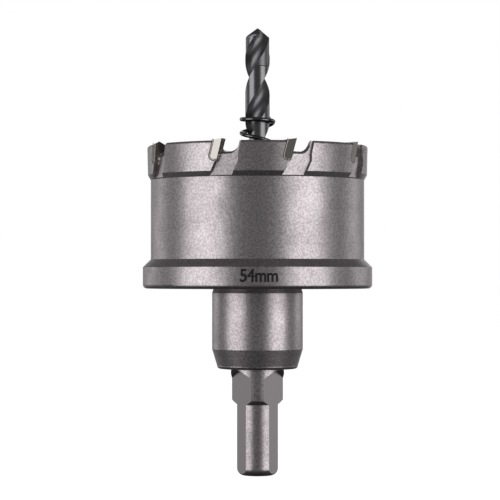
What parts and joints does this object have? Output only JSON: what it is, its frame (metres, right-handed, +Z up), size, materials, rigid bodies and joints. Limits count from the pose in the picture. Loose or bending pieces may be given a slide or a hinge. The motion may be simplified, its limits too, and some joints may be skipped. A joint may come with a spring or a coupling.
{
  "type": "hole saw",
  "caption": "Carbide-tipped hole saw for metal, with a stop flange, a three-flat shank, a pilot drill and an ejector spring.",
  "frame": {"origin": "centre of the shank's flat end face, which is the middle of the underside of the bounding box", "axes": "+Z up the axis from the shank to the point of the pilot drill; -Y is the front, where the picture looks from"},
  "size_m": [0.056, 0.056, 0.1093],
  "materials": {
    "blasted_steel": "fine bead-blasted, satin",
    "arbor_steel": "fine bead-blasted, satin",
    "carbide": "ground, smooth",
    "black_drill_steel": "black oxide, glossy",
    "black_spring_steel": "black oxide, glossy",
    "black_screw_steel": "black oxide, satin"
  },
  "bodies": {
    "root": {"cutter_cup": "blasted_steel", "tooth_1": "carbide", "tooth_2": "carbide", "tooth_3": "carbide", "tooth_4": "carbide", "tooth_5": "carbide", "tooth_6": "carbide", "tooth_7": "carbide", "tooth_8": "carbide", "arbor": "arbor_steel", "pilot_drill": "black_drill_steel", "ejector_spring": "black_spring_steel", "grub_screw": "black_screw_steel"}
  },
  "joints": []
}
